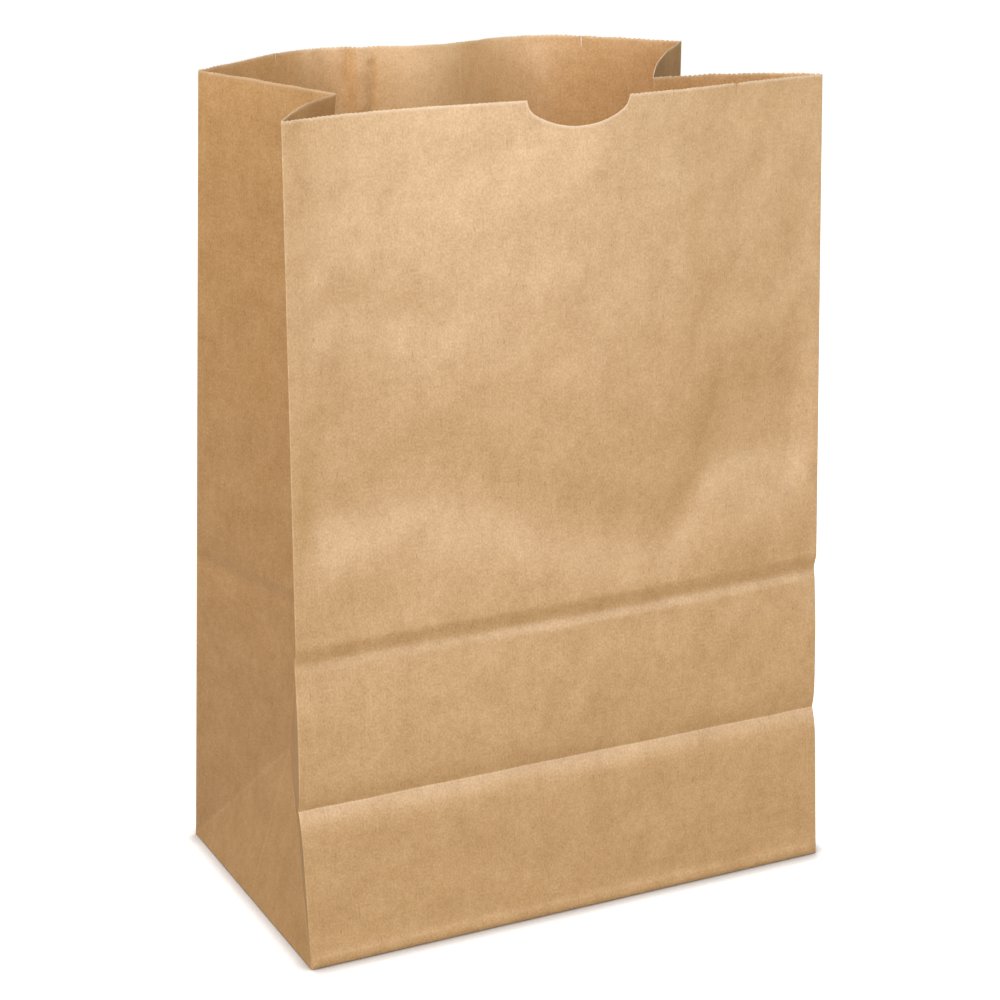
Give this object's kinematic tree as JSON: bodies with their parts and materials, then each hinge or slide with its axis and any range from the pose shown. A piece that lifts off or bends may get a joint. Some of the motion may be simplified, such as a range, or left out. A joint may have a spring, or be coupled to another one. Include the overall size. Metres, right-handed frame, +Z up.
{
  "type": "paper grocery bag",
  "caption": "Brown kraft paper bag with folded-in sides, a flat folded bottom, a thumb notch and a toothed cut edge, standing open and empty.",
  "frame": {"origin": "middle of the folded bottom, on the surface that the bag stands on", "axes": "+Z up along the panels, +Y from the front panel with the thumb notch towards the back panel, +X to the right as seen from the front"},
  "size_m": [0.3087, 0.2018, 0.4376],
  "materials": {
    "kraft_paper": "matte"
  },
  "bodies": {
    "root": {"paper_bag": "kraft_paper"}
  },
  "joints": []
}
